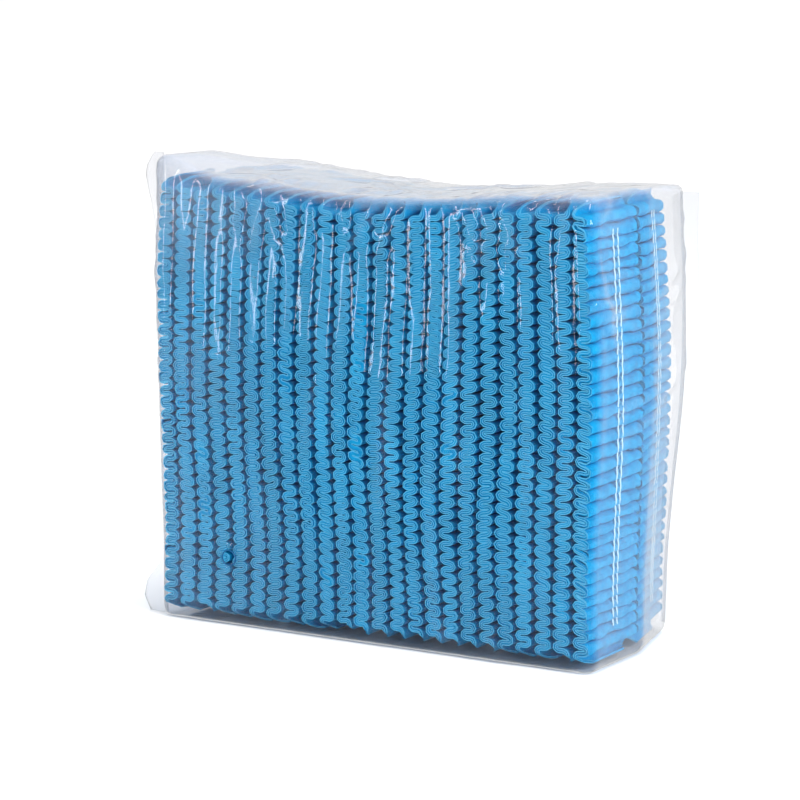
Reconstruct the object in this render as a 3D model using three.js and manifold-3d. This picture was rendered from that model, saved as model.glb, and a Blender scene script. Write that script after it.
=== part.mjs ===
// A clear film bag of disposable pleated hairnets: two rows of folded strip caps standing on end.
// Millimetres. X runs along the rows, Y from the front row to the back row, Z up.
// The origin is under the middle of the pack's box, on the surface it stands on.
import * as THREE from 'three';
import { mergeVertices } from 'three/addons/utils/BufferGeometryUtils.js';
import Module from 'manifold-3d';

// Driving dimensions of the folded caps
const capsPerRow = 24;
const rowNames = ['front', 'back'];
const capLength = 199; // a 21 inch cap, pleated shut and pulled to its welded ends
const capWidth = 45; // the folded pleat's run from edge to edge, front to back in the pack
const capPitch = 9.17; // caps are squeezed side by side, one every 9.17 mm
const capGap = 0.55; // the air left between two neighbours
const rowGap = 0.9; // the air left between the rows
const edgeChamfer = 1.3; // the rounded turn of the outermost pleats

// Driving dimensions of the bag
const filmWall = 1.0; // the film's stand-in thickness; the real film is about 0.05 mm
const filmClearance = 0.8; // the air between the film and the caps
const cornerRadius = 4; // of the outside; the inside is tighter by the wall
const arcSteps = 3; // straight pieces in each rounded corner
const sidePieces = 9; // straight pieces along the front and the back
const endPieces = 4; // straight pieces along each end
const finThickness = 1.6; // two films welded together
const ventDiameter = 7; // the punched hole that lets the air out of the bag
const ventPlace = { x: -73.5, z: 31.5 };

// How the packed block settles: all in millimetres except the taper, which is a share
const backTaper = 0.105; // the back row is squeezed narrower at its far edge
const topLean = 3; // the tops at the right end lean in by this much
const footTuck = 1.2; // the feet at the right end are drawn in by this much
const topDip = 6; // the tops are lowest a little left of the middle
const rearDrop = 2.5; // the back row stands lower at its far edge
const cornerLift = 7; // the film stands up in a ridge at the top of the front left corner
const bellyBulge = 2.2; // the front and back bow out at half height
const sway = 1.3; // the caps' shared bend from side to side

// A cap's sections from its foot up: shares of its length, thickness and width.
// The first two and last two rows are the welded ends, flat tabs with no pleats.
const capSections = [
  { along: 0.0, thickness: 0.28, width: 0.52 },
  { along: 0.022, thickness: 0.36, width: 0.66 },
  { along: 0.032, thickness: 0.94, width: 0.95 },
  { along: 0.06, thickness: 1.0, width: 1.0 },
  { along: 0.28, thickness: 1.0, width: 1.0 },
  { along: 0.5, thickness: 1.0, width: 1.0 },
  { along: 0.72, thickness: 1.0, width: 1.0 },
  { along: 0.94, thickness: 1.0, width: 1.0 },
  { along: 0.968, thickness: 0.94, width: 0.95 },
  { along: 0.978, thickness: 0.36, width: 0.66 },
  { along: 1.0, thickness: 0.28, width: 0.52 },
];

// The bag's sections from its foot up: how far each is drawn in all round, how far its right
// rear corner stands out where the film is slack, and how much of the corner ridge it takes.
const bagSections = [
  { height: 0, inset: 3.5, slack: 0, ridge: 0 },
  { height: 1.2, inset: 1.2, slack: 0, ridge: 0 },
  { height: 4, inset: 0, slack: 0, ridge: 0 },
  { height: 45, inset: 0, slack: 1, ridge: 0 },
  { height: 90, inset: 0, slack: 3.5, ridge: 0 },
  { height: 135, inset: 0, slack: 6, ridge: 0 },
  { height: 170, inset: 0, slack: 8, ridge: 0 },
  { height: 197, inset: 0, slack: 9, ridge: 0.2 },
  { height: 201.5, inset: 1, slack: 9, ridge: 0.8 },
  { height: 203.5, inset: 4, slack: 8, ridge: 1 },
];

// The welded fin along the front left edge, from the foot up: how far it reaches to the left.
// It lies flat against the caps in between its two dog ears.
const frontLeftFin = [
  { height: 0.6, reach: 9 },
  { height: 7, reach: 12 },
  { height: 15, reach: 10 },
  { height: 24, reach: 2.5 },
  { height: 100, reach: 1.5 },
  { height: 178, reach: 2 },
  { height: 196, reach: 7 },
  { height: 205, reach: 8 },
  { height: 209, reach: 4 },
];
// The welded fin along the right rear edge, which stands out all the way up
const rearRightFin = [
  { height: 5, reach: 2 },
  { height: 30, reach: 3 },
  { height: 70, reach: 5 },
  { height: 110, reach: 6 },
  { height: 155, reach: 6.5 },
  { height: 199, reach: 7.5 },
];

const filmMaterial = new THREE.MeshStandardMaterial({
  color: 0xdfe8ef, roughness: 0.12, metalness: 0, transparent: true, opacity: 0.3,
});
const rowLength = capsPerRow * capPitch;
const blockDepth = rowNames.length * capWidth + rowGap;
const capFoot = filmWall + 0.6; // the welded ends stand just clear of the bag's floor
const { smoothstep, clamp } = THREE.MathUtils;

// Where a point of the straight block lies once the pack has settled.
// The map is smooth and keeps neighbours in order, so caps that were apart stay apart.
function settle(point) {
  const fromLeft = clamp(point.x / rowLength + 0.5, 0, 1);
  const up = clamp(point.z / (capFoot + capLength), 0, 1.1);
  const behind = Math.max(point.y, 0) / (blockDepth / 2);
  const lean = -topLean * fromLeft ** 2 * smoothstep(up, 0.45, 1.05);
  const tuck = -footTuck * fromLeft ** 2 * (1 - smoothstep(up, 0, 0.25));
  const bend = sway * Math.sin(2 * Math.PI * (up + 0.6 * fromLeft)) * smoothstep(up, 0, 0.2);
  const dip = topDip * Math.sin(Math.PI * fromLeft ** 0.95) ** 2 + rearDrop * Math.min(behind, 1);
  return new THREE.Vector3(
    point.x * (1 - backTaper * behind) + lean + tuck + bend,
    point.y * (1 + (2 * bellyBulge / blockDepth) * Math.sin(Math.PI * Math.min(up, 1))),
    point.z * (1 - dip / (capFoot + capLength)),
  );
}

// A closed body through rings of the same number of points, anticlockwise seen from above.
function loft(rings) {
  const count = rings[0].length;
  const points = rings.flat();
  const triangles = [];
  for (let level = 0; level < rings.length - 1; level += 1) {
    for (let i = 0; i < count; i += 1) {
      const a = level * count + i;
      const b = level * count + ((i + 1) % count);
      triangles.push(a, b, b + count, a, b + count, a + count);
    }
  }
  for (const [first, foot] of [[0, true], [(rings.length - 1) * count, false]]) {
    const middle = new THREE.Vector3();
    for (let i = 0; i < count; i += 1) {
      middle.addScaledVector(points[first + i], 1 / count);
    }
    points.push(middle);
    for (let i = 0; i < count; i += 1) {
      const pair = [first + i, first + ((i + 1) % count)];
      triangles.push(points.length - 1, ...(foot ? pair.reverse() : pair));
    }
  }
  const geometry = new THREE.BufferGeometry().setFromPoints(points);
  geometry.setIndex(triangles);
  return geometry;
}

// One folded cap: a flat bar of pleats with a welded tab at each end, standing on its foot.
function capGeometry(column, row) {
  const middleX = (column - (capsPerRow - 1) / 2) * capPitch;
  const middleY = (row - 0.5) * (capWidth + rowGap);
  const rings = capSections.map(({ along, thickness, width }) => {
    const x = (thickness * (capPitch - capGap)) / 2;
    const y = (width * capWidth) / 2;
    const cut = edgeChamfer * thickness;
    const corners = [
      [x, -y + cut], [x, y - cut], [x - cut, y], [cut - x, y],
      [-x, y - cut], [-x, cut - y], [cut - x, -y], [x - cut, -y],
    ];
    return corners.map(([dx, dy]) => settle(
      new THREE.Vector3(middleX + dx, middleY + dy, capFoot + along * capLength),
    ));
  });
  return loft(rings);
}

// Where a point of the bag's straight outline lies: settled, then slack and ridged.
function bagPoint(x, y, height, { slack, ridge }) {
  const place = settle(new THREE.Vector3(x, y, height));
  const halfX = rowLength / 2;
  const halfY = blockDepth / 2;
  place.x += slack * smoothstep(x, 0, halfX) * smoothstep(y, -halfY / 2, halfY);
  place.z += cornerLift * ridge * smoothstep(-x, halfX - 30, halfX) * smoothstep(-y, -halfY, halfY / 2);
  return place;
}

// The bag's outline at one height: straight sides and rounded corners, anticlockwise.
function bagRing(section, wall, lift) {
  const halfX = rowLength / 2 + filmClearance + filmWall - wall - section.inset;
  const halfY = blockDepth / 2 + filmClearance + filmWall - wall - section.inset;
  const radius = cornerRadius - wall;
  const corners = [
    { x: halfX, y: halfY, start: 0, pieces: sidePieces },
    { x: -halfX, y: halfY, start: 1, pieces: endPieces },
    { x: -halfX, y: -halfY, start: 2, pieces: sidePieces },
    { x: halfX, y: -halfY, start: 3, pieces: endPieces },
  ];
  const arcs = corners.map(({ x, y, start }) => {
    const centre = new THREE.Vector2(x - radius * Math.sign(x), y - radius * Math.sign(y));
    return Array.from({ length: arcSteps + 1 }, (_, step) => {
      const angle = (start + step / arcSteps) * (Math.PI / 2);
      return new THREE.Vector2(Math.cos(angle), Math.sin(angle)).multiplyScalar(radius).add(centre);
    });
  });
  const outline = arcs.flatMap((arc, corner) => {
    const last = arc[arcSteps];
    const next = arcs[(corner + 1) % arcs.length][0];
    const { pieces } = corners[corner];
    const between = Array.from({ length: pieces - 1 }, (_, i) => last.clone().lerp(next, (i + 1) / pieces));
    return [...arc, ...between];
  });
  return outline.map(({ x, y }) => bagPoint(x, y, section.height + lift, section));
}

// The slack of the bag at any height, read between the rows of its table.
function slackAt(height) {
  const above = Math.max(bagSections.findIndex((section) => section.height > height), 1);
  const [low, high] = [bagSections[above - 1], bagSections[above]];
  return THREE.MathUtils.mapLinear(height, low.height, high.height, low.slack, high.slack);
}

// A welded fin: a thin upright plate that leaves the end of the bag at one depth.
function finGeometry(profile, side, depth) {
  const half = finThickness / 2;
  const faceX = side * (rowLength / 2 + filmClearance + filmWall / 2);
  const rings = profile.map(({ height, reach }) => {
    const root = bagPoint(faceX, depth, height, { slack: slackAt(height), ridge: 0 });
    const [low, high] = [root.x, root.x + side * reach].sort((a, b) => a - b);
    return [[low, -half], [high, -half], [high, half], [low, half]].map(
      ([x, dy]) => new THREE.Vector3(x, root.y + dy, height),
    );
  });
  return loft(rings);
}

const wasm = await Module();
wasm.setup();

function solidOf(geometry) {
  const bare = geometry.clone();
  bare.deleteAttribute('normal');
  bare.deleteAttribute('uv');
  const merged = mergeVertices(bare);
  return new wasm.Manifold(new wasm.Mesh({
    numProp: 3,
    vertProperties: Float32Array.from(merged.attributes.position.array),
    triVerts: Uint32Array.from(merged.index.array),
  }));
}

function geometryOf(solid) {
  const { vertProperties, triVerts } = solid.getMesh();
  const geometry = new THREE.BufferGeometry();
  geometry.setAttribute('position', new THREE.BufferAttribute(vertProperties, 3));
  geometry.setIndex(new THREE.BufferAttribute(triVerts, 1));
  return geometry;
}

// The bag: an outer body and two welded fins, hollowed by its own inside and vented in front.
function bagGeometry() {
  const outside = loft(bagSections.map((section) => bagRing(section, 0, 0)));
  const top = bagSections[bagSections.length - 1].height;
  const inside = loft(bagSections.map((section) => {
    const lift = THREE.MathUtils.mapLinear(section.height, 0, top, filmWall, -filmWall);
    return bagRing(section, filmWall, lift);
  }));
  const vent = new THREE.CylinderGeometry(ventDiameter / 2, ventDiameter / 2, 12, 24);
  vent.translate(ventPlace.x, -blockDepth / 2 - 5, ventPlace.z);
  return geometryOf(
    solidOf(outside)
      .add(solidOf(finGeometry(frontLeftFin, -1, cornerRadius - blockDepth / 2)))
      .add(solidOf(finGeometry(rearRightFin, 1, blockDepth / 2 - cornerRadius)))
      .subtract(solidOf(inside))
      .subtract(solidOf(vent)),
  );
}

function named(name, geometry, material) {
  const mesh = new THREE.Mesh(geometry, material);
  mesh.name = name;
  mesh.geometry.computeVertexNormals();
  return mesh;
}

const pack = new THREE.Group();
rowNames.forEach((rowName, row) => {
  for (let column = 0; column < capsPerRow; column += 1) {
    const number = String(column + 1).padStart(2, '0');
    const nonwoven = new THREE.MeshStandardMaterial({ color: 0x2b9bd0, roughness: 0.85, metalness: 0 });
    pack.add(named(`cap_${rowName}_${number}`, capGeometry(column, row), nonwoven));
  }
});
pack.add(named('bag', bagGeometry(), filmMaterial));

// Stand the pack on the surface with the origin under the middle of its box
const extent = new THREE.Box3().setFromObject(pack);
const centre = extent.getCenter(new THREE.Vector3());
pack.position.set(-centre.x, -centre.y, -extent.min.z);

export default pack;
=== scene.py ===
import math
import time

import bpy
import numpy as np
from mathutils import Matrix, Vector


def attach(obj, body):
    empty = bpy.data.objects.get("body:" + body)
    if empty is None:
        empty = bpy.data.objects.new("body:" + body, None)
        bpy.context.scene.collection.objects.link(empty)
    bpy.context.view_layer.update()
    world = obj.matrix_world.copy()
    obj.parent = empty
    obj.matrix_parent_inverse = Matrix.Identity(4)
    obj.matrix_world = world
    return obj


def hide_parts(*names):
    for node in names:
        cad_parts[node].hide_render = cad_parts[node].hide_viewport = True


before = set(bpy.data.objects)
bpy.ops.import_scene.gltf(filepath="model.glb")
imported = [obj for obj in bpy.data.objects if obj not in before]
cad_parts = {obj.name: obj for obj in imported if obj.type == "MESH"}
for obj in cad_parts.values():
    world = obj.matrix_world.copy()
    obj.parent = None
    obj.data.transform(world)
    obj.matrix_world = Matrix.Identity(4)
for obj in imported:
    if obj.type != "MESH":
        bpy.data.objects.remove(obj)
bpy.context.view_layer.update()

started = time.time()
mm = 0.001
rowNames = ("front", "back")

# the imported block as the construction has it, in metres
block = {
    "capsPerRow": 24,
    "capLength": 199 * mm,
    "capWidth": 45 * mm,
    "capPitch": 9.17 * mm,
    "capGap": 0.55 * mm,
    "rowGap": 0.9 * mm,
    "capFoot": 1.6 * mm,  # the welded ends stand this high over the floor
    "backTaper": 0.105,  # the back row is squeezed narrower at its far edge
    "topLean": 3 * mm,
    "footTuck": 1.2 * mm,
    "topDip": 6 * mm,
    "rearDrop": 2.5 * mm,
    "bellyBulge": 2.2 * mm,
    "sway": 1.3 * mm,
}
rowLength = block["capsPerRow"] * block["capPitch"]
blockDepth = len(rowNames) * block["capWidth"] + block["rowGap"]
blockHeight = block["capFoot"] + block["capLength"]


def smooth(value, low, high):
    share = np.clip((value - low) / (high - low), 0, 1)
    return share * share * (3 - 2 * share)


# where points of the straight block lie once the pack has settled
def settle(points):
    x, y, z = points[..., 0], points[..., 1], points[..., 2]
    fromLeft = np.clip(x / rowLength + 0.5, 0, 1)
    up = np.clip(z / blockHeight, 0, 1.1)
    behind = np.maximum(y, 0) / (blockDepth / 2)
    lean = -block["topLean"] * fromLeft**2 * smooth(up, 0.45, 1.05)
    tuck = -block["footTuck"] * fromLeft**2 * (1 - smooth(up, 0, 0.25))
    bend = block["sway"] * np.sin(2 * np.pi * (up + 0.6 * fromLeft)) * smooth(up, 0, 0.2)
    dip = block["topDip"] * np.sin(np.pi * fromLeft**0.95) ** 2 + block["rearDrop"] * np.minimum(behind, 1)
    bulge = 1 + 2 * block["bellyBulge"] / blockDepth * np.sin(np.pi * np.minimum(up, 1))
    settled = [x * (1 - block["backTaper"] * behind) + lean + tuck + bend, y * bulge, z * (1 - dip / blockHeight)]
    return np.stack(settled, axis=-1)


# the block stands in the frame where its first cap's foot is
def blockPlace():
    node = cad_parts["cap_front_01"]
    foot = np.array([v.co for v in node.data.vertices if v.co.z < block["capFoot"] + 0.5 * mm])
    firstX = -(block["capsPerRow"] - 1) / 2 * block["capPitch"]
    straight = np.array([[firstX, -(block["capWidth"] + block["rowGap"]) / 2, block["capFoot"]]])
    return np.array([foot[:, 0].mean() - settle(straight)[0, 0], 0, 0])


blockOrigin = blockPlace()
print("frame loaded, block stands at", [round(float(v) / mm, 2) for v in blockOrigin], "mm")

# ---- camera and studio

cameraView = {"azimuth": 31.28, "elevation": 9.57, "distance": 1.6, "lens": 162, "aimX": -12.3 * mm, "aimZ": 100.8 * mm}


def makeCamera():
    turn, tilt = math.radians(cameraView["azimuth"]), math.radians(cameraView["elevation"])
    back = Vector((math.sin(turn) * math.cos(tilt), -math.cos(turn) * math.cos(tilt), math.sin(tilt)))
    data = bpy.data.cameras.new("camera")
    data.lens = cameraView["lens"]
    data.sensor_width = 36
    data.clip_start, data.clip_end = 0.05, 60
    camera = bpy.data.objects.new("camera", data)
    camera.location = Vector((cameraView["aimX"] + blockOrigin[0], 0, cameraView["aimZ"])) + back * cameraView["distance"]
    camera.rotation_euler = (-back).to_track_quat("-Z", "Y").to_euler()
    bpy.context.scene.collection.objects.link(camera)
    bpy.context.scene.camera = camera


makeCamera()


def linear(hexColour):
    channels = [int(hexColour[i : i + 2], 16) / 255 for i in (1, 3, 5)]
    return [c / 12.92 if c <= 0.04045 else ((c + 0.055) / 1.055) ** 2.4 for c in channels] + [1]


# adds a node, with its settings, its sockets' values and the links into it
def addNode(tree, kind, values=None, links=None, **settings):
    node = tree.nodes.new(kind)
    for name, value in settings.items():
        setattr(node, name, value)
    for socket, value in (values or {}).items():
        node.inputs[socket].default_value = value
    for socket, source in (links or {}).items():
        tree.links.new(source, node.inputs[socket])
    return node


studio = {
    "skyStrength": 1.08,
    "backdrop": 1.1,  # what the film mirrors behind the pack, a white sweep
    "room": 0.05,  # and on the camera's side, a dim room
    "floorColour": "#f9f9fa",
    "lamps": [
        # name, place in metres, size, watts: each points at the middle of the pack
        ("keyRight", (1.6, -0.45, 0.95), (0.8, 1.0), 28),
        ("stripLeft", (-0.98, -1.5, 0.45), (0.07, 1.1), 3.6),
        ("fillLeft", (-1.7, -0.5, 1.1), (0.4, 0.7), 6),
        ("overhead", (0.2, 0.1, 1.8), (0.7, 0.7), 10),
    ],
}


def makeWorld():
    world = bpy.data.worlds.new("studio")
    bpy.context.scene.world = world
    world.use_nodes = True
    tree = world.node_tree
    tree.nodes.clear()
    sky = addNode(tree, "ShaderNodeBackground", {"Color": (1, 1, 1, 1), "Strength": studio["skyStrength"]})
    place = addNode(tree, "ShaderNodeTexCoord").outputs["Generated"]
    axes = addNode(tree, "ShaderNodeSeparateXYZ", links={0: place})
    around = addNode(tree, "ShaderNodeMapRange", {1: -0.1, 2: 0.45, 3: studio["room"], 4: studio["backdrop"]}, {0: axes.outputs["Y"]})
    mirrored = addNode(tree, "ShaderNodeBackground", {"Color": (1, 1, 1, 1)}, {"Strength": around.outputs[0]})
    path = addNode(tree, "ShaderNodeLightPath")
    both = addNode(tree, "ShaderNodeMixShader", links={0: path.outputs["Is Glossy Ray"], 1: sky.outputs[0], 2: mirrored.outputs[0]})
    addNode(tree, "ShaderNodeOutputWorld", links={"Surface": both.outputs[0]})


def makeLamps():
    for name, place, (width, height), watts in studio["lamps"]:
        lamp = bpy.data.lights.new(name, "AREA")
        lamp.shape, lamp.size, lamp.size_y, lamp.energy = "RECTANGLE", width, height, watts
        holder = bpy.data.objects.new(name, lamp)
        holder.location = place
        holder.rotation_euler = (Vector((0, 0, 0.1)) - Vector(place)).to_track_quat("-Z", "Y").to_euler()
        bpy.context.scene.collection.objects.link(holder)


def makeFloor():
    mesh = bpy.data.meshes.new("studioFloor")
    reach = 14
    mesh.from_pydata([(-reach, -reach, 0), (reach, -reach, 0), (reach, reach, 0), (-reach, reach, 0)], [], [(0, 1, 2, 3)])
    floor = bpy.data.objects.new("studioFloor", mesh)
    paper = bpy.data.materials.new("matt white paper sweep")
    paper.use_nodes = True
    shader = paper.node_tree.nodes["Principled BSDF"]
    shader.inputs["Base Color"].default_value = linear(studio["floorColour"])
    shader.inputs["Roughness"].default_value = 0.9
    shader.inputs["Specular IOR Level"].default_value = 0.1
    mesh.materials.append(paper)
    floor.visible_glossy = False  # the film would mirror it as a pale veil
    bpy.context.scene.collection.objects.link(floor)


makeWorld()
makeLamps()
makeFloor()
bpy.context.scene.view_settings.view_transform = "Standard"
bpy.context.scene.cycles.transparent_max_bounces = 24  # the film's layers behind one another
print("studio ready")

# ---- materials

# spunbond polypropylene, 10 to 14 g a square metre, calendered with a fine dot bond:
# matt and a little see-through; the cut edges are drawn in a paler blue, a painted highlight for the light they catch
spunbond = {
    "colour": "#02a8e0",
    "shade": "#0195d0",  # thicker clumps of fibre
    # the edge blue is painted highlight: the cut edges catch the light and look paler, but the cloth is the same
    "edge": "#58c4ee",
    "fibreWidth": 0.25 * mm,  # the real fibres are 0.02 mm; drawn coarser so that they show
    "bondPitch": 0.8 * mm,
    "pucker": 3 * mm,  # soft dents where the gathered cloth buckles
    "passesLight": 0.1,
}


def spunbondMaterial(name, colour, shade):
    material = bpy.data.materials.new(name)
    material.use_nodes = True
    tree = material.node_tree
    tree.nodes.clear()
    place = addNode(tree, "ShaderNodeTexCoord").outputs["Object"]
    clumps = addNode(tree, "ShaderNodeTexNoise", {"Scale": 1 / (4 * mm), "Detail": 3}, {"Vector": place})
    fibres = addNode(tree, "ShaderNodeTexNoise", {"Scale": 1 / spunbond["fibreWidth"], "Detail": 2}, {"Vector": place})
    bonds = addNode(tree, "ShaderNodeTexVoronoi", {"Scale": 1 / spunbond["bondPitch"], "Randomness": 0.4}, {"Vector": place})
    spread = addNode(tree, "ShaderNodeMapRange", {1: 0.35, 2: 0.65}, {0: clumps.outputs["Fac"]})
    mixed = addNode(tree, "ShaderNodeMix", {6: linear(shade), 7: linear(colour)}, {0: spread.outputs[0]}, data_type="RGBA")
    relief = addNode(tree, "ShaderNodeMath", links={0: fibres.outputs["Fac"], 1: bonds.outputs["Distance"]}, operation="ADD")
    puckers = addNode(tree, "ShaderNodeTexNoise", {"Scale": 1 / spunbond["pucker"], "Detail": 2}, {"Vector": place})
    puckered = addNode(tree, "ShaderNodeBump", {"Strength": 0.6, "Distance": 0.9 * mm}, {"Height": puckers.outputs["Fac"]})
    bump = addNode(tree, "ShaderNodeBump", {"Strength": 0.4, "Distance": 0.15 * mm}, {"Height": relief.outputs[0], "Normal": puckered.outputs[0]})
    cloth = addNode(tree, "ShaderNodeBsdfPrincipled",
                    {"Roughness": 0.75, "IOR": 1.49, "Specular IOR Level": 0.15, "Sheen Weight": 0.03, "Sheen Roughness": 0.5},
                    {"Base Color": mixed.outputs[2], "Normal": bump.outputs[0]})
    through = addNode(tree, "ShaderNodeBsdfTranslucent", links={"Color": mixed.outputs[2], "Normal": bump.outputs[0]})
    both = addNode(tree, "ShaderNodeMixShader", {0: spunbond["passesLight"]}, {1: cloth.outputs[0], 2: through.outputs[0]})
    addNode(tree, "ShaderNodeOutputMaterial", links={"Surface": both.outputs[0]})
    return material


# covered rubber thread, woven over in white yarn: a bright, slightly ribbed line
elasticThread = {"colour": "#b4e0f3", "ribPitch": 0.6 * mm}


def elasticMaterial():
    material = bpy.data.materials.new("covered elastic thread, white yarn")
    material.use_nodes = True
    tree = material.node_tree
    tree.nodes.clear()
    place = addNode(tree, "ShaderNodeTexCoord").outputs["Object"]
    ribs = addNode(tree, "ShaderNodeTexWave", {"Scale": 1 / elasticThread["ribPitch"] / 3.14, "Distortion": 1.5},
                   {"Vector": place}, wave_type="BANDS", bands_direction="Z")
    bump = addNode(tree, "ShaderNodeBump", {"Strength": 0.5, "Distance": 0.1 * mm}, {"Height": ribs.outputs["Fac"]})
    yarn = addNode(tree, "ShaderNodeBsdfPrincipled", {"Base Color": linear(elasticThread["colour"]), "Roughness": 0.6, "Sheen Weight": 0.3},
                   {"Normal": bump.outputs[0]})
    addNode(tree, "ShaderNodeOutputMaterial", links={"Surface": yarn.outputs[0]})
    return material


# blown low density polyethylene film, 50 microns, clear but a little milky:
# sharp glints on its creases, a faint grey veil where it is doubled
blownFilm = {
    "headOnMirror": 0.02,  # share mirrored by each face, seen square on
    "edgeOnMirror": 0.9,
    "gloss": 0.08,
    "milkColour": "#c8cdd8",
    "tint": 0.935,  # share of light let through by each face
    "fineCrease": 5 * mm,
}


# the veil is a share of milky white, painted on the mesh where the film is rubbed, doubled or slack
def filmMaterial(name, relief):
    material = bpy.data.materials.new(name)
    material.use_nodes = True
    tree = material.node_tree
    tree.nodes.clear()
    place = addNode(tree, "ShaderNodeTexCoord").outputs["Object"]
    stretch = addNode(tree, "ShaderNodeMapping", {"Scale": (1, 1, 0.4)}, {"Vector": place})
    creases = addNode(tree, "ShaderNodeTexNoise", {"Scale": 1 / blownFilm["fineCrease"], "Detail": 2, "Roughness": 0.5},
                      {"Vector": stretch.outputs[0]})
    bump = addNode(tree, "ShaderNodeBump", {"Strength": relief, "Distance": 0.5 * mm}, {"Height": creases.outputs["Fac"]})
    facing = addNode(tree, "ShaderNodeLayerWeight", {"Blend": 0.5}, {"Normal": bump.outputs[0]})
    curve = addNode(tree, "ShaderNodeMath", {1: 4}, {0: facing.outputs["Facing"]}, operation="POWER")
    mirror = addNode(tree, "ShaderNodeMapRange", {3: blownFilm["headOnMirror"], 4: blownFilm["edgeOnMirror"]}, {0: curve.outputs[0]})
    tint = blownFilm["tint"]
    clear = addNode(tree, "ShaderNodeBsdfTransparent", {"Color": (tint, tint * 1.003, tint * 1.01, 1)})
    cloud = addNode(tree, "ShaderNodeBsdfDiffuse", {"Color": linear(blownFilm["milkColour"])})
    veil = addNode(tree, "ShaderNodeAttribute", attribute_name="veil")
    milky = addNode(tree, "ShaderNodeMixShader", links={0: veil.outputs["Fac"], 1: clear.outputs[0], 2: cloud.outputs[0]})
    shine = addNode(tree, "ShaderNodeBsdfAnisotropic", {"Roughness": blownFilm["gloss"]}, {"Normal": bump.outputs[0]})
    film = addNode(tree, "ShaderNodeMixShader", links={0: mirror.outputs[0], 1: milky.outputs[0], 2: shine.outputs[0]})
    addNode(tree, "ShaderNodeOutputMaterial", links={"Surface": film.outputs[0]})
    return material


pleatCloth = spunbondMaterial("spunbond polypropylene, blue, dot bonded", spunbond["colour"], spunbond["shade"])
# the cut edges' cloth is painted paler, a painted highlight
paintedHighlightCloth = spunbondMaterial("spunbond polypropylene, blue, cut edge, painted highlight", spunbond["edge"], spunbond["edge"])
whiteYarn = elasticMaterial()
clearFilm = filmMaterial("blown polyethylene film, clear", 0.2)
weldedFilm = filmMaterial("blown polyethylene film, welded double", 0.15)
print("materials ready")

# ---- shared mesh helpers


# a mesh object from arrays of points and four-sided faces, riding on the pack's body
def addPiece(name, points, quads, materials, sharpAngle=50, useSecond=None):
    mesh = bpy.data.meshes.new(name)
    mesh.vertices.add(len(points))
    mesh.vertices.foreach_set("co", np.asarray(points, np.float32).ravel())
    mesh.loops.add(quads.size)
    mesh.loops.foreach_set("vertex_index", np.asarray(quads, np.int32).ravel())
    mesh.polygons.add(len(quads))
    mesh.polygons.foreach_set("loop_start", np.arange(0, quads.size, 4, dtype=np.int32))
    mesh.update(calc_edges=True)
    mesh.polygons.foreach_set("use_smooth", np.ones(len(quads), bool))
    mesh.set_sharp_from_angle(angle=math.radians(sharpAngle))
    for material in materials:
        mesh.materials.append(material)
    if useSecond is not None:
        mesh.polygons.foreach_set("material_index", np.asarray(useSecond, np.int32))
    piece = bpy.data.objects.new(name, mesh)
    bpy.context.scene.collection.objects.link(piece)
    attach(piece, "root")
    return piece


# a slowly changing value for each sample, from -1 to 1, the same on every run
def drift(rng, count, knots):
    values = rng.uniform(-1, 1, knots + 3)
    at = np.linspace(0, knots, count)
    low = at.astype(int)
    share = at - low
    share = share * share * (3 - 2 * share)
    return values[low] * (1 - share) + values[low + 1] * share


# smooth random relief from -1 to 1 at points in space, with lumps of the given size
def lumps(rng, points, size):
    lattice = rng.uniform(-1, 1, (32, 32, 32))
    at = points / np.asarray(size)
    low = np.floor(at).astype(int)
    share = at - low
    share = share * share * (3 - 2 * share)
    total = 0
    for corner in np.ndindex(2, 2, 2):
        weight = np.prod(np.where(np.array(corner), share, 1 - share), axis=-1)
        cell = (low + corner) % 32
        total = total + weight * lattice[cell[..., 0], cell[..., 1], cell[..., 2]]
    return total


# ---- pleated caps

cap = {
    "waves": 35,
    "pointsPerWave": 11,
    "layerStep": 0.97 * mm,  # from one drawn layer of cloth to the next; the real cap has more and thinner ones
    "cloth": 0.44 * mm,  # thickness of a drawn layer
    "fill": 1.75 * mm,  # the folded cloth between the outer layers, drawn as one band
    "fillInset": 0.45 * mm,  # how far it stays behind the layers' cut edges
    "lobeSpan": 5.65 * mm,  # from the middle layer's left crest to its right crest
    "turn": 96,  # degrees that the cloth turns past its run at each crossing
    "turnSpread": 7,
    "edgeStagger": 0.7 * mm,  # how unevenly the layers' edges lie
    "footTail": 6.2 * mm,  # room for the welded end under the pleats
    "headTail": 5.6 * mm,
    "tailLength": 9 * mm,
    "tailWidth": 0.62,  # of the cap's width
    "gathers": [(12 * mm, 1.1 * mm, 1.2 * mm), (25.3 * mm, 0.6 * mm, 3.4 * mm), (42 * mm, 1 * mm, 1.2 * mm)],
    # each gather: distance from the cap's front edge, how deep it pulls the pleats in, its half width
    "pressed": 3.35 * mm,  # the outermost pleats are pressed flat past this distance from the cap's middle
}


# one serpentine pleat from crest to crest: across from -0.5 to 0.5, along from 0 to 1
def pleatWave(turn, count):
    fine = np.linspace(0, 1, 241)
    heading = math.radians(turn) * np.sin(2 * np.pi * fine)
    across = np.concatenate([[0], np.cumsum((-np.sin(heading[1:]) - np.sin(heading[:-1])) / 2)])
    along = np.concatenate([[0], np.cumsum((np.cos(heading[1:]) + np.cos(heading[:-1])) / 2)])
    across = (across - across.min()) / (across.max() - across.min()) - 0.5
    at = np.linspace(0, 1, count + 1)
    return np.interp(at, fine, across), np.interp(at, fine, along / along[-1])


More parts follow.
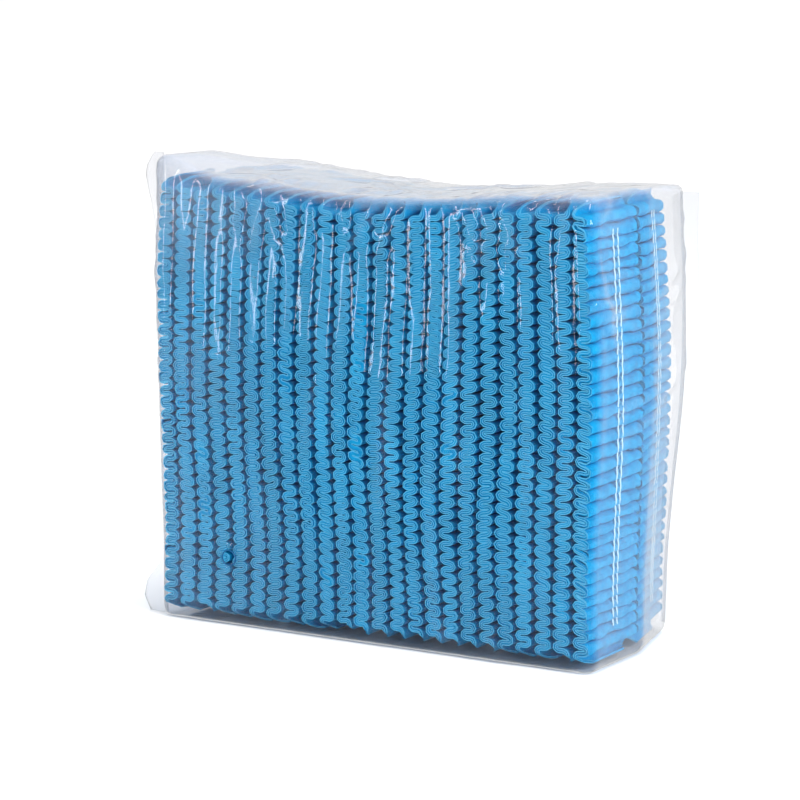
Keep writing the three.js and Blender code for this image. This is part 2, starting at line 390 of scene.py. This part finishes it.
# the welded end beyond the last pleat: a short curl that turns in over the cap's own width
def tailPath(rng, start, upwards, room):
    steps = 9
    turnIn = -1 if start[0] > 0 else 1
    bend = math.radians(rng.uniform(50, 115))
    share = np.linspace(0, 1, steps + 1)[1:]
    heading = bend * share**1.3
    step = cap["tailLength"] * rng.uniform(0.7, 1) / steps
    across = start[0] + turnIn * np.cumsum(np.sin(heading)) * step
    rise = np.cumsum(np.cos(heading)) * step
    rise *= min(1, room / rise.max())
    return np.stack([across, start[1] + (rise if upwards else -rise)], axis=1)


# the line that a cap's cloth follows, seen from the front: across and up, foot to head
def pleatPath(rng):
    waves, count = cap["waves"], cap["pointsPerWave"]
    foot = block["capFoot"] + cap["footTail"]
    head = block["capFoot"] + block["capLength"] - cap["headTail"]
    pitches = 1 + 0.1 * drift(rng, waves, 12) + rng.uniform(-0.06, 0.06, waves)
    pitches *= (head - foot) / pitches.sum()
    turns = cap["turn"] + rng.uniform(-1, 1) * cap["turnSpread"] + 5 * drift(rng, waves, 9)
    startUp = foot + np.concatenate([[0], np.cumsum(pitches)])
    across, up = [], []
    for wave in range(waves):
        x, z = pleatWave(turns[wave], count)
        keep = slice(0, count + 1 if wave == waves - 1 else count)
        across.append(x[keep])
        up.append(startUp[wave] + pitches[wave] * z[keep])
    across, up = np.concatenate(across), np.concatenate(up)
    size = len(across)
    span = cap["lobeSpan"] * (1 + 0.07 * drift(rng, size, 14))
    slant = rng.uniform(-0.16, 0.16) + 0.2 * drift(rng, size, 6)
    across = (1 if rng.random() < 0.5 else -1) * across * span
    inside = smooth(np.minimum(np.arange(size), np.arange(size)[::-1]), 0, count)
    up = up + slant * across * inside
    across = across + 0.35 * mm * drift(rng, size, 8)
    path = np.stack([across, up], axis=1)
    low = tailPath(rng, path[0], False, cap["footTail"] - 1.2 * mm)
    high = tailPath(rng, path[-1], True, cap["headTail"] - 1 * mm)
    inTail = np.concatenate([np.linspace(1, 0, len(low) + 1)[:-1], np.zeros(size), np.linspace(0, 1, len(high) + 1)[1:]])
    return np.concatenate([low[::-1], path, high]), inTail


# the faces of a closed band: points by depth, place on the path and side
def bandQuads(depths, size):
    index = np.arange(depths * size * 2).reshape(depths, size, 2)
    a, b, c, d = index[:-1, :-1], index[1:, :-1], index[1:, 1:], index[:-1, 1:]
    outer = np.stack([a[..., 0], b[..., 0], c[..., 0], d[..., 0]], -1)
    inner = np.stack([a[..., 1], d[..., 1], c[..., 1], b[..., 1]], -1)
    near, far = index[0], index[-1]
    front = np.stack([near[:-1, 0], near[1:, 0], near[1:, 1], near[:-1, 1]], -1)
    back = np.stack([far[:-1, 0], far[:-1, 1], far[1:, 1], far[1:, 0]], -1)
    foot = np.stack([index[:-1, 0, 0], index[:-1, 0, 1], index[1:, 0, 1], index[1:, 0, 0]], -1)
    head = np.stack([index[:-1, -1, 0], index[1:, -1, 0], index[1:, -1, 1], index[:-1, -1, 1]], -1)
    faces = [quads.reshape(-1, 4) for quads in (outer, inner, foot, head, front, back)]
    # the front and back faces are the layers' cut edges, which take the paler cloth as a painted highlight
    cut = np.concatenate([np.full(len(quads), k > 3) for k, quads in enumerate(faces)])
    return np.concatenate(faces), cut


def gatherDepth(fromFront):
    return sum(depth * np.exp(-(((fromFront - at) / spread) ** 2)) for at, depth, spread in cap["gathers"])


# rows of points across an outermost cap: close together where stitches gather the pleats
def gatherRows():
    width = block["capWidth"]
    at = [0, 0.7 * mm, 3.5 * mm, 7 * mm, 9.8 * mm, 11.2 * mm, 12 * mm, 12.8 * mm, 14.5 * mm, 18.5 * mm, 21.5 * mm, 23.4 * mm,
          25.3 * mm, 27.2 * mm, 29.5 * mm, 33 * mm, 37 * mm, 39.6 * mm, 41.2 * mm, 42 * mm, 43 * mm, width]
    return np.array(at) / width


# outward is -1 or 1 for the side of an outermost cap that shows through the film, else 0
def capPoints(rng, column, row, outward):
    path, inTail = pleatPath(rng)
    size = len(path)
    ahead = np.gradient(path, axis=0)
    ahead /= np.linalg.norm(ahead, axis=1, keepdims=True)
    out = np.stack([ahead[:, 1], -ahead[:, 0]], axis=1)
    middleX = (column - (block["capsPerRow"] - 1) / 2) * block["capPitch"]
    middleY = (row - 0.5) * (block["capWidth"] + block["rowGap"])
    closing = 1 - 0.6 * smooth(inTail, 0, 0.35)
    halfWidth = block["capWidth"] / 2 * (1 - (1 - cap["tailWidth"]) * smooth(inTail, 0, 1))
    twist = 0.5 * mm * drift(rng, size, 10)
    bands = []
    for band, layer in enumerate((-1, 0, 1, None)):
        offset = (layer or 0) * cap["layerStep"] * (1 + 0.1 * drift(rng, size, 20))
        thick = cap["fill"] if layer is None else cap["cloth"]
        stagger = cap["fillInset"] if layer is None else 0
        frontDrop = stagger + cap["edgeStagger"] * (rng.uniform(0, 0.6) + 0.35 * (1 + drift(rng, size, 16)))
        backDrop = stagger + cap["edgeStagger"] * (rng.uniform(0, 0.6) + 0.35 * (1 + drift(rng, size, 16)))
        shares = gatherRows() if outward and layer == outward else np.array([0, 1])
        depth = -halfWidth + frontDrop + (2 * halfWidth - frontDrop - backDrop) * shares[:, None]
        points = np.zeros((len(shares), size, 2, 3))
        for face, side in enumerate((0.5, -0.5)):
            shift = (offset + side * thick) * closing
            points[..., face, 0] = path[:, 0] + out[:, 0] * shift
            points[..., face, 1] = depth
            points[..., face, 2] = path[:, 1] + out[:, 1] * shift + twist * (shares[:, None] - 0.5)
        if outward:
            pressPleats(rng, points, outward)
        points += np.array([middleX, middleY, 0])
        packing = np.random.default_rng(row + 1)  # neighbours lean together
        points[..., 0] += 0.9 * mm * lumps(packing, points, (30 * mm, 300 * mm, 50 * mm)) * (0.4 if outward else 1)
        bands.append(points)
    return bands, path, (middleX, middleY)


# an outermost cap is pressed flat by the film and gathered by its rows of stitches
def pressPleats(rng, points, outward):
    fromFront = points[..., 1] + block["capWidth"] / 2
    if points.shape[0] > 2:
        puffs = lumps(rng, points, (30 * mm, 9 * mm, 5 * mm))
        creases = lumps(rng, points, (30 * mm, 3.2 * mm, 2.4 * mm))
        between = smooth(np.abs(fromFront - 25.3 * mm), 2 * mm, 5 * mm)
        points[..., 2] += (1.1 * mm * puffs + 0.5 * mm * creases) * between
        points[..., 0] += outward * (0.6 * mm * creases + 0.4 * mm * puffs) * between
    reach = points[..., 0] * outward
    past = reach - cap["pressed"]
    reach = np.where(past > 0, cap["pressed"] + 0.35 * past, reach)
    reach -= gatherDepth(fromFront) * smooth(reach, 0, 3 * mm)
    points[..., 0] = reach * outward


def makeCap(column, row):
    name = f"pleated_cap_{rowNames[row]}_{column + 1:02d}"
    rng = np.random.default_rng(100 * (row + 1) + column)
    outward = {0: -1, block["capsPerRow"] - 1: 1}.get(column, 0)
    bands, path, middle = capPoints(rng, column, row, outward)
    placed, quads, cut, count = [], [], [], 0
    for band, points in enumerate(bands):
        faces, edges = bandQuads(*points.shape[:2])
        placed.append(points.reshape(-1, 3))
        quads.append(faces + count)
        # the three layers' cut edges get the paler cloth, a painted highlight; the fill band keeps the plain blue
        cut.append(edges & (band < 3))
        count += len(placed[-1])
    placed = settle(np.concatenate(placed)) + blockOrigin
    piece = addPiece(name, placed, np.concatenate(quads), (pleatCloth, paintedHighlightCloth), useSecond=np.concatenate(cut))
    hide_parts(f"cap_{rowNames[row]}_{column + 1:02d}")
    if outward:
        sewElastic(rng, bands[2 if outward > 0 else 0], outward, column, row)


# ---- elastic on the caps' outer sides

elastic = {
    "lines": (23.4 * mm, 27.2 * mm),  # from the cap's front edge
    "width": 1.05 * mm,
    "height": 0.5 * mm,
    "sag": 0.3 * mm,  # how far a thread dips between two pleats
    "stitch": 0.3 * mm,  # thickness of the zigzag sewing thread
}


# a flat tube along a line of points, five-sided
def tube(line, width, height, sides=6):
    ahead = np.gradient(line, axis=0)
    ahead /= np.linalg.norm(ahead, axis=1, keepdims=True)
    side = np.cross(ahead, [1, 0, 0])
    side /= np.maximum(np.linalg.norm(side, axis=1, keepdims=True), 1e-9)
    rise = np.cross(side, ahead)
    turns = np.arange(sides) * 2 * np.pi / sides
    rings = line[:, None] + side[:, None] * np.cos(turns)[:, None] * width / 2 + rise[:, None] * np.sin(turns)[:, None] * height / 2
    index = np.arange(len(line) * sides).reshape(len(line), sides)
    after = np.roll(index, -1, axis=1)
    return rings.reshape(-1, 3), np.stack([index[:-1], index[1:], after[1:], after[:-1]], -1).reshape(-1, 4)


# the height of the pleats' crests over the cap's middle, along one line up the cap
def crestLine(band, outward, fromFront, middleY):
    depth = band[:, :, 0, 1].mean(axis=1) - middleY + block["capWidth"] / 2
    line = band[np.argmin(np.abs(depth - fromFront)), :, 0 if outward > 0 else 1]
    reach = line[:, 0] * outward
    crests = [k for k in range(2, len(reach) - 2) if reach[k] >= reach[k - 2 : k + 3].max()]
    return line[crests]


def sewElastic(rng, band, outward, column, row):
    middleY = (row - 0.5) * (block["capWidth"] + block["rowGap"])
    points, quads, count = [], [], 0
    threads = []
    for at in elastic["lines"]:
        crests = crestLine(band, outward, at, middleY)
        crests = crests[(crests[:, 2] > 12 * mm) & (crests[:, 2] < 192 * mm)]
        steps = np.linspace(0, len(crests) - 1, 6 * len(crests))
        line = np.stack([np.interp(steps, np.arange(len(crests)), crests[:, k]) for k in range(3)], axis=1)
        sag = elastic["sag"] * np.sin(np.pi * steps) ** 2
        line[:, 0] += outward * (0.3 * mm - sag)
        line[:, 1] = middleY - block["capWidth"] / 2 + at + 0.25 * mm * drift(rng, len(line), 9)
        threads.append(line)
        tubePoints, tubeQuads = tube(line, elastic["width"], elastic["height"])
        points.append(tubePoints)
        quads.append(tubeQuads + count)
        count += len(tubePoints)
    first, second = threads
    zigzag = np.concatenate([(first if k % 2 else second)[3 * k : 3 * k + 1] for k in range(min(len(first), len(second)) // 3)])
    fine = np.linspace(0, len(zigzag) - 1, 3 * len(zigzag))
    zigzag = np.stack([np.interp(fine, np.arange(len(zigzag)), zigzag[:, k]) for k in range(3)], axis=1)
    tubePoints, tubeQuads = tube(zigzag, elastic["stitch"], elastic["stitch"], 4)
    points.append(tubePoints)
    quads.append(tubeQuads + count)
    placed = settle(np.concatenate(points)) + blockOrigin
    # the zigzag thread is drawn in the cut edges' paler cloth, whose colour is painted highlight
    stitched = np.concatenate([np.full(len(faces), k > 1) for k, faces in enumerate(quads)])
    addPiece(f"elastic_{rowNames[row]}_{column + 1:02d}", placed, np.concatenate(quads), (whiteYarn, paintedHighlightCloth), useSecond=stitched)


for row in range(len(rowNames)):
    for column in range(block["capsPerRow"]):
        makeCap(column, row)
print(f"caps pleated, {time.time() - started:.1f} s")

# ---- film bag

bag = {
    "clearance": 1.0 * mm,  # from the caps to the film
    "cornerRadius": 4.5 * mm,
    "cell": 2.4 * mm,
    "thickness": 0.15 * mm,  # drawn thicker than the real 0.05 mm
    "slack": [(0, 0), (45, 1), (90, 3.5), (135, 6), (170, 8), (203, 9)],  # height, reach of the right rear corner, mm
    "ridge": 7 * mm,  # how high the film stands at the top of the front left corner
    "vent": {"x": -73.5 * mm, "z": 31.5 * mm, "radius": 3.5 * mm},
    "creaseSeed": 5,
}


# the film as a box of small square cells with rounded edges, over the straight block
def filmShell():
    size = np.array([rowLength, blockDepth, blockHeight]) + bag["clearance"] * np.array([2, 2, 1])
    counts = np.round(size / bag["cell"]).astype(int)
    lattice, quads = {}, []
    for axis in range(3):
        u, v = [k for k in range(3) if k != axis]
        for end in (0, counts[axis]):
            for i in range(counts[u]):
                for j in range(counts[v]):
                    corners = []
                    for di, dj in ((0, 0), (1, 0), (1, 1), (0, 1)):
                        key = [0, 0, 0]
                        key[axis], key[u], key[v] = end, i + di, j + dj
                        corners.append(lattice.setdefault(tuple(key), len(lattice)))
                    outward = (end > 0) == (axis != 1)
                    quads.append(corners if outward else corners[::-1])
    grid = np.array(list(lattice)) / counts
    points = (grid - [0.5, 0.5, 0]) * size
    radius = bag["cornerRadius"]
    low, high = np.array([-size[0] / 2, -size[1] / 2, 0]) + radius, np.array([size[0] / 2, size[1] / 2, size[2]]) - radius
    core = np.clip(points, low, high)
    out = points - core
    reach = np.maximum(np.linalg.norm(out, axis=1, keepdims=True), 1e-9)
    out = out / reach
    return core + out * np.minimum(reach, radius), out, np.array(quads)


# folds in the film: each a straight crease from one point to another, with its height and half width
def filmCreases(rng):
    x, y, z = rowLength / 2, blockDepth / 2, blockHeight
    creases = []

    def fold(start, end, height, width):
        creases.append((np.array(start), np.array(end), height * mm, width * mm))

    for k in range(46):  # long upright ones down the front and the back
        side = -y if k % 3 else y
        at, top = rng.uniform(-x, x), rng.uniform(0.3, 1) * z
        fold((at, side, top), (at + rng.uniform(-6, 6) * mm, side, top - rng.uniform(30, 110) * mm), rng.uniform(0.25, 0.7), 4)
    for k in range(46):  # short slanting ones fanning down from the top edges
        side = -y if k % 3 else y
        at = rng.uniform(-x, x)
        start = (at, side, z)
        fold(start, (at + rng.uniform(-22, 22) * mm, side, z - rng.uniform(8, 38) * mm), rng.uniform(0.5, 1.4), 3.5)
        fold(start, (at + rng.uniform(-15, 15) * mm, side * 0.3, z), rng.uniform(0.5, 1.5), 4)
    for k in range(40):  # across both ends, most from the upper corners
        side = x if k % 2 else -x
        corner = (side, y * rng.choice((-1, 1)), z - abs(rng.normal(0, 45)) * mm)
        fold(corner, (side, rng.uniform(-0.8, 0.8) * y, corner[2] - rng.uniform(-12, 40) * mm), rng.uniform(0.5, 1.6), 3.5)
    for k in range(26):  # around the foot, where the film is tucked under
        side, at = rng.choice((-y, y)), rng.uniform(-x, x)
        fold((at, side, 0), (at + rng.uniform(-16, 16) * mm, side, rng.uniform(5, 22) * mm), rng.uniform(0.4, 1.1), 3.5)
    for k in range(16):  # along the top
        at = rng.uniform(-x, x)
        fold((at, rng.uniform(-y, y), z), (at + rng.uniform(-60, 60) * mm, rng.uniform(-y, y), z), rng.uniform(0.6, 1.6), 4.5)
    return creases


def creaseRelief(points, creases):
    relief = np.zeros(len(points))
    for start, end, height, width in creases:
        run = end - start
        along = np.clip((points - start) @ run / (run @ run), 0, 1)
        away = np.linalg.norm(points - start - along[:, None] * run, axis=1)
        relief += height * np.maximum(0, 1 - away / width) * np.sin(np.pi * np.clip(along * 0.92 + 0.08, 0, 1)) ** 0.7
    return relief


def bagForm(points):
    placed = settle(points)
    heights, reaches = np.array(bag["slack"]).T * mm
    slack = np.interp(points[:, 2], heights, reaches)
    halfX, halfY = rowLength / 2, blockDepth / 2
    placed[:, 0] += slack * smooth(points[:, 0], 0, halfX) * smooth(points[:, 1], -halfY / 2, halfY)
    nearLeft = smooth(-points[:, 0], halfX - 30 * mm, halfX) * smooth(-points[:, 1], -halfY, halfY / 2)
    placed[:, 2] += bag["ridge"] * smooth(points[:, 2], 190 * mm, 202 * mm) * nearLeft
    return placed


# how milky the film is: more to the left, round the foot and where it lies slack
def filmVeil(rng, points, relief):
    x, z = points[:, 0], points[:, 2]
    left = smooth(-x, 30 * mm, 105 * mm)
    low = 1 - smooth(z, 10 * mm, 75 * mm)
    patches = np.clip(lumps(rng, points, (45 * mm, 30 * mm, 60 * mm)), 0, 1)
    folds = np.clip(relief / (1.2 * mm), 0, 1)
    top = smooth(z, 198 * mm, 203 * mm)
    return 0.002 + 0.025 * left + 0.012 * low + 0.03 * patches * (left + 0.2) + 0.03 * folds + 0.24 * top + 0.07 * left * smooth(z, 150 * mm, 196 * mm)


# cuts the round vent hole: the nine cells round its place go, and their outer corners move onto its edge
def cutVent(points, quads):
    vent = bag["vent"]
    front = points[:, 1] < -blockDepth / 2 + 1 * mm
    place = np.array([vent["x"], vent["z"]])
    across, up = np.unique(np.round(points[front][:, 0], 6)), np.unique(np.round(points[front][:, 2], 6))
    low = np.array([across[across < place[0]][-1], up[up < place[1]][-1]])
    high = np.array([across[across > place[0]][0], up[up > place[1]][0]])
    cell = high - low
    fromMiddle = points[:, [0, 2]] - (low + high) / 2
    cellsAway = np.abs(fromMiddle / cell).max(axis=1)
    block9 = front & (cellsAway < 1.7)
    edge = block9 & (cellsAway > 1)
    away = np.linalg.norm(fromMiddle, axis=1)
    points[edge] += ((vent["radius"] / away - 1)[:, None] * fromMiddle @ [[1, 0, 0], [0, 0, 1]])[edge]
    return quads[~block9[quads].all(axis=1)]


def makeBag():
    rng = np.random.default_rng(bag["creaseSeed"])
    points, out, quads = filmShell()
    quads = cutVent(points, quads)
    columns = 0.5 - 0.5 * np.cos(2 * np.pi * (points[:, 0] / block["capPitch"] + 0.5))
    onSides = np.abs(out[:, 1])
    relief = creaseRelief(points, filmCreases(rng))
    waves = 0.5 * mm * lumps(rng, points, (22 * mm, 22 * mm, 60 * mm)) + 0.25 * mm * lumps(rng, points, (9 * mm, 9 * mm, 24 * mm))
    lift = relief + waves + 0.3 * mm - 0.35 * mm * columns * onSides
    lift *= smooth(points[:, 2], 0, 3 * mm)
    points = points + out * lift[:, None]
    veil = filmVeil(rng, points, relief)
    used = np.unique(quads)
    renumber = np.zeros(len(points), int)
    renumber[used] = np.arange(len(used))
    piece = addPiece("film_bag", bagForm(points[used]) + blockOrigin, renumber[quads], (clearFilm,), 60)
    attribute = piece.data.attributes.new("veil", "FLOAT", "POINT")
    attribute.data.foreach_set("value", veil[used].astype(np.float32))
    wall = piece.modifiers.new("wall", "SOLIDIFY")
    wall.thickness, wall.offset = bag["thickness"], 0
    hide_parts("bag")


# the vent hole's edge, a bead of film melted by the hot punch; its dark blue is painted shade, the shaded caps seen
# through the hole, not the clear film's own colour
ventBead = {"thickness": 0.75 * mm, "colour": "#0b5c8e"}


def paintedShadeBeadMaterial():
    material = bpy.data.materials.new("polyethylene, melted bead, painted shade")
    material.use_nodes = True
    shader = material.node_tree.nodes["Principled BSDF"]
    # dark blue painted shade, for the shaded gap behind the hole
    shader.inputs["Base Color"].default_value = linear(ventBead["colour"])
    shader.inputs["Roughness"].default_value = 0.3
    shader.inputs["IOR"].default_value = 1.51
    return material


def makeVentBead():
    vent = bag["vent"]
    around = np.arange(32) * 2 * np.pi / 32
    section = np.arange(6) * 2 * np.pi / 6
    reach = vent["radius"] + ventBead["thickness"] / 2 * np.cos(section)
    points = np.zeros((32, 6, 3))
    points[..., 0] = vent["x"] + np.outer(np.cos(around), reach)
    points[..., 1] = -blockDepth / 2 - bag["clearance"] - 0.3 * mm + ventBead["thickness"] / 2 * np.sin(section)
    points[..., 2] = vent["z"] + np.outer(np.sin(around), reach)
    index = np.arange(192).reshape(32, 6)
    after = np.roll(index, -1, axis=0)
    quads = np.stack([index, after, np.roll(after, -1, axis=1), np.roll(index, -1, axis=1)], -1).reshape(-1, 4)
    addPiece("vent_bead", bagForm(points.reshape(-1, 3)) + blockOrigin, quads, (paintedShadeBeadMaterial(),), 60)


# the bag's welded side seams and dog ears, each a flat double strip standing out from an upright edge
welds = {
    "front_left": {"side": -1, "y": -41.45, "reach": [(0.6, 9), (7, 12), (15, 10), (24, 2.5), (100, 1.5), (176, 2), (188, 5), (197, 9), (203, 4)]},
    "rear_right": {"side": 1, "y": 41.45, "reach": [(5, 2), (30, 3), (70, 5), (110, 6), (155, 6.5), (199, 7.5)]},
}


def makeWeld(name, weld):
    rng = np.random.default_rng(len(name))
    heights, reaches = np.array(weld["reach"], float).T * mm
    up = np.linspace(heights[0], heights[-1], 90)
    across = np.linspace(0, 1, 7)
    reach = np.interp(up, heights, reaches)
    grid = np.zeros((len(up), len(across), 3))
    edgeX = rowLength / 2 + bag["clearance"] - 1.2 * mm
    grid[..., 0] = weld["side"] * edgeX
    grid[..., 1] = weld["y"] * mm
    grid[..., 2] = np.minimum(up, blockHeight)[:, None]
    placed = bagForm(grid.reshape(-1, 3)).reshape(grid.shape)
    placed[..., 0] += weld["side"] * (1.2 * mm + reach)[:, None] * across
    placed[..., 1] += 0.8 * mm * drift(rng, len(up), 9)[:, None] * across
    placed[..., 2] += np.maximum(up - blockHeight, 0)[:, None]
    index = np.arange(grid.size // 3).reshape(grid.shape[:2])
    quads = np.stack([index[:-1, :-1], index[:-1, 1:], index[1:, 1:], index[1:, :-1]], -1).reshape(-1, 4)
    piece = addPiece(f"film_weld_{name}", placed.reshape(-1, 3) + blockOrigin, quads, (weldedFilm,), 60)
    attribute = piece.data.attributes.new("veil", "FLOAT", "POINT")
    attribute.data.foreach_set("value", np.full(index.size, 0.06, np.float32))
    wall = piece.modifiers.new("wall", "SOLIDIFY")
    wall.thickness, wall.offset = 2 * bag["thickness"], 0


makeBag()
makeVentBead()
for name, weld in welds.items():
    makeWeld(name, weld)
print(f"bag made, {time.time() - started:.1f} s")
